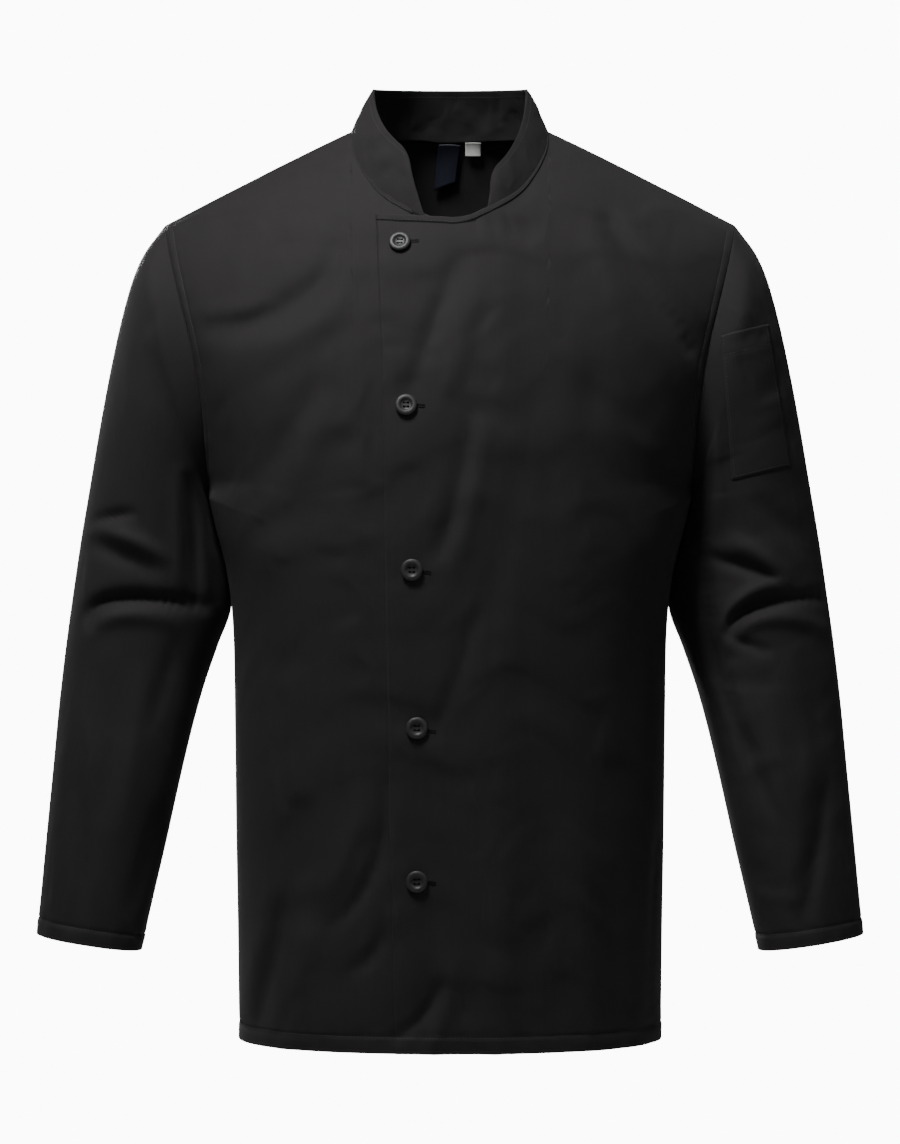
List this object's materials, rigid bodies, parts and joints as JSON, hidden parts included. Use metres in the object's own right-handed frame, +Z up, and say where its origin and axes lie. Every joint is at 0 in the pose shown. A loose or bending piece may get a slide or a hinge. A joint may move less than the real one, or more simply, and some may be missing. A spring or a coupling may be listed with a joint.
{
  "type": "long-sleeved chef jacket",
  "caption": "Hollow worn chef jacket with a stand collar, a buttoned lapped front, long sleeves and a patch pocket on the left upper sleeve.",
  "frame": {"origin": "middle of the neck, level with the points where the shoulder seams meet the collar", "axes": "+Z up, the front faces -Y, the wearer's left is +X"},
  "size_m": [0.696, 0.2645, 0.8102],
  "materials": {
    "cloth": "charcoal black poly-cotton twill with a soft sheen",
    "button": "dark grey moulded resin, softly glossy",
    "label": "dark navy woven ribbon, bare",
    "tag": "light grey woven tape, bare"
  },
  "bodies": {
    "root": {"front_left": "cloth", "front_right": "cloth", "back": "cloth", "sleeve_left": "cloth", "sleeve_right": "cloth", "sleeve_pocket": "cloth", "collar": "cloth", "neck_tape_left": "cloth", "neck_tape_right": "cloth", "button_1": "button", "button_2": "button", "button_3": "button", "button_4": "button", "button_5": "button", "neck_label": "label", "size_tag": "tag"}
  },
  "joints": []
}
